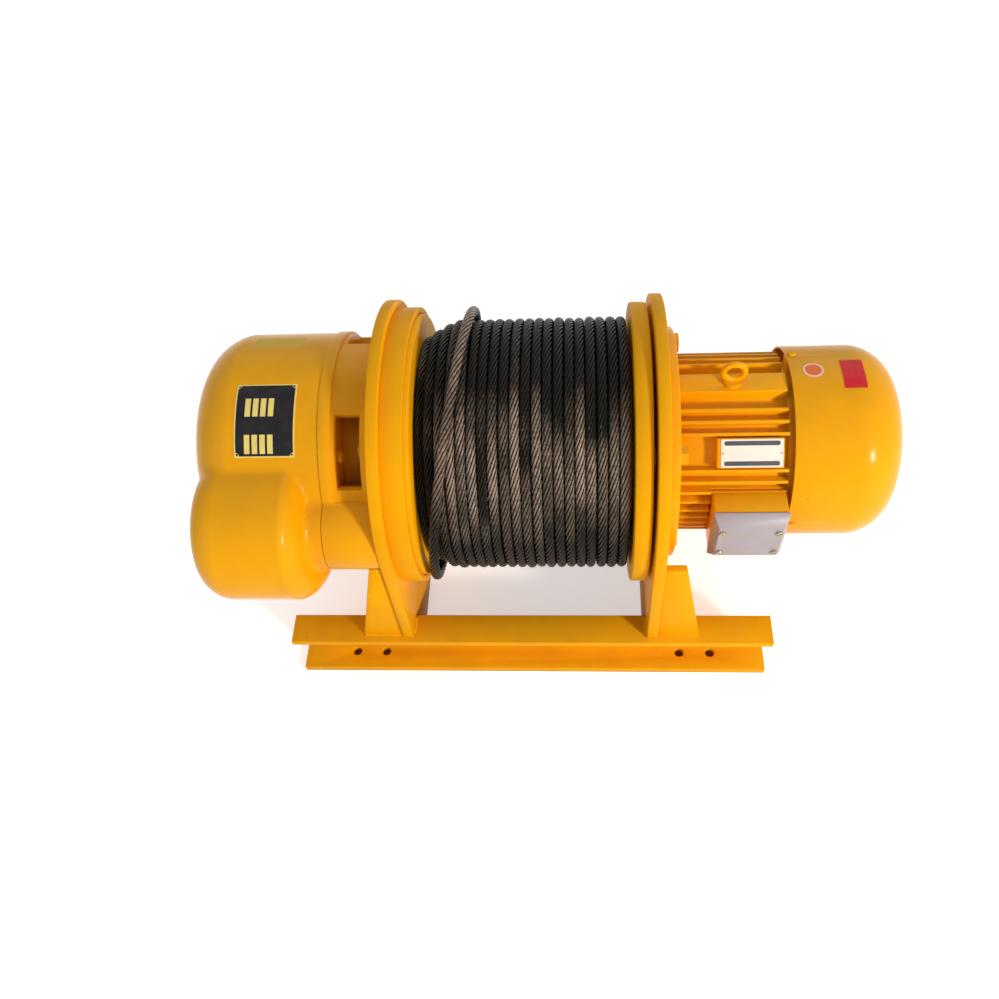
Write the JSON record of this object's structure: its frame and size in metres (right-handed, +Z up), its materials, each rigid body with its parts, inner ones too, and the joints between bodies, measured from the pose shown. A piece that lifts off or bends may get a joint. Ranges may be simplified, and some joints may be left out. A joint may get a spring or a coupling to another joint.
{
  "type": "electric winch",
  "caption": "Single-drum electric winch: wire rope drum between a domed gearbox and a finned brake motor, carried by round-topped plates on channel rails.",
  "frame": {"origin": "centre of the outer foot bolt pattern, on the floor plane under the rails", "axes": "+X along the drum axis from gearbox to motor, -Y to the front with the terminal box, +Z up"},
  "size_m": [0.7464, 0.357, 0.3955],
  "materials": {
    "painted_steel": "glossy orange-yellow enamel on steel",
    "painted_casting": "glossy orange-yellow enamel on castings",
    "fastener_steel": "steel fasteners painted over",
    "bearing_steel": "ground bearing rings",
    "cast_lid": "bare die-cast lid",
    "core_steel": "laminated core",
    "winding_copper": "varnished copper",
    "terminal_plastic": "moulded terminal block",
    "greased_rope": "greased steel wire rope",
    "gear_steel": "machined steel",
    "brake_lining": "friction lining",
    "fan_plastic": "moulded fan"
  },
  "bodies": {
    "frame": {"front_rail": "painted_steel", "rear_rail": "painted_steel", "gear_side_plate": "painted_steel", "motor_side_plate": "painted_steel", "gear_side_gussets": "painted_steel", "motor_side_gussets": "painted_steel", "drum_guard_ring": "painted_steel", "gear_case": "painted_casting", "gear_cover": "painted_casting", "gear_case_bolts": "fastener_steel", "gear_cover_screws": "fastener_steel", "bearing_bridge": "painted_casting", "bridge_screws": "fastener_steel", "gear_shaft_bearings": "bearing_steel", "sleeve_bearings": "bearing_steel", "motor_end_shield": "painted_casting", "motor_flange_bolts": "fastener_steel", "drum_bearing": "bearing_steel", "motor_frame": "painted_casting", "eye_bolt": "fastener_steel", "stator_core": "core_steel", "stator_windings": "winding_copper", "rear_end_shield": "painted_casting", "motor_bearings": "bearing_steel", "fan_cover": "painted_steel", "fan_cover_screws": "fastener_steel", "brake_coil": "core_steel", "brake_springs": "fastener_steel", "brake_posts": "fastener_steel", "terminal_box": "painted_casting", "terminal_box_lid": "cast_lid", "terminal_box_screws": "fastener_steel", "terminal_block": "terminal_plastic"},
    "drum": {"drum_gear_flange": "painted_steel", "drum_motor_flange": "painted_steel", "drum_barrel": "painted_steel", "rope_pack": "greased_rope", "rope_last_turn": "greased_rope", "rope_tail": "greased_rope", "rope_anchor": "fastener_steel", "output_sleeve": "gear_steel", "output_gear": "gear_steel"},
    "counter": {"countershaft": "gear_steel", "second_gear": "gear_steel", "third_pinion": "gear_steel"},
    "second": {"second_shaft": "gear_steel", "first_gear": "gear_steel", "second_pinion": "gear_steel"},
    "input": {"drive_shaft": "gear_steel", "input_pinion": "gear_steel", "shaft_coupling": "gear_steel", "motor_shaft": "gear_steel", "rotor_core": "core_steel", "brake_disc": "brake_lining", "cooling_fan": "fan_plastic"},
    "armature": {"brake_armature": "core_steel"}
  },
  "joints": [
    {"name": "drum_spin", "type": "hinge", "parent": "frame", "child": "drum", "pos_m": [0, 0, 0.235], "axis": [1, 0, 0], "continuous": true},
    {"name": "countershaft_spin", "type": "hinge", "parent": "frame", "child": "counter", "pos_m": [-0.24, -0.11372, 0.24295], "axis": [1, 0, 0], "continuous": true},
    {"name": "second_shaft_spin", "type": "hinge", "parent": "frame", "child": "second", "pos_m": [-0.3, -0.04478, 0.27493], "axis": [1, 0, 0], "continuous": true},
    {"name": "input_spin", "type": "hinge", "parent": "frame", "child": "input", "pos_m": [0, 0, 0.235], "axis": [1, 0, 0], "continuous": true},
    {"name": "armature_slide", "type": "slide", "parent": "frame", "child": "armature", "axis": [1, 0, 0], "range_m": [0, 0.0006], "stiffness_N_per_m": 20000, "springref_m": -0.01}
  ],
  "couplings": [
    {"joint": "countershaft_spin", "follows": "drum_spin", "ratio": -3.75},
    {"joint": "second_shaft_spin", "follows": "drum_spin", "ratio": 16.607},
    {"joint": "input_spin", "follows": "drum_spin", "ratio": -54.566}
  ]
}
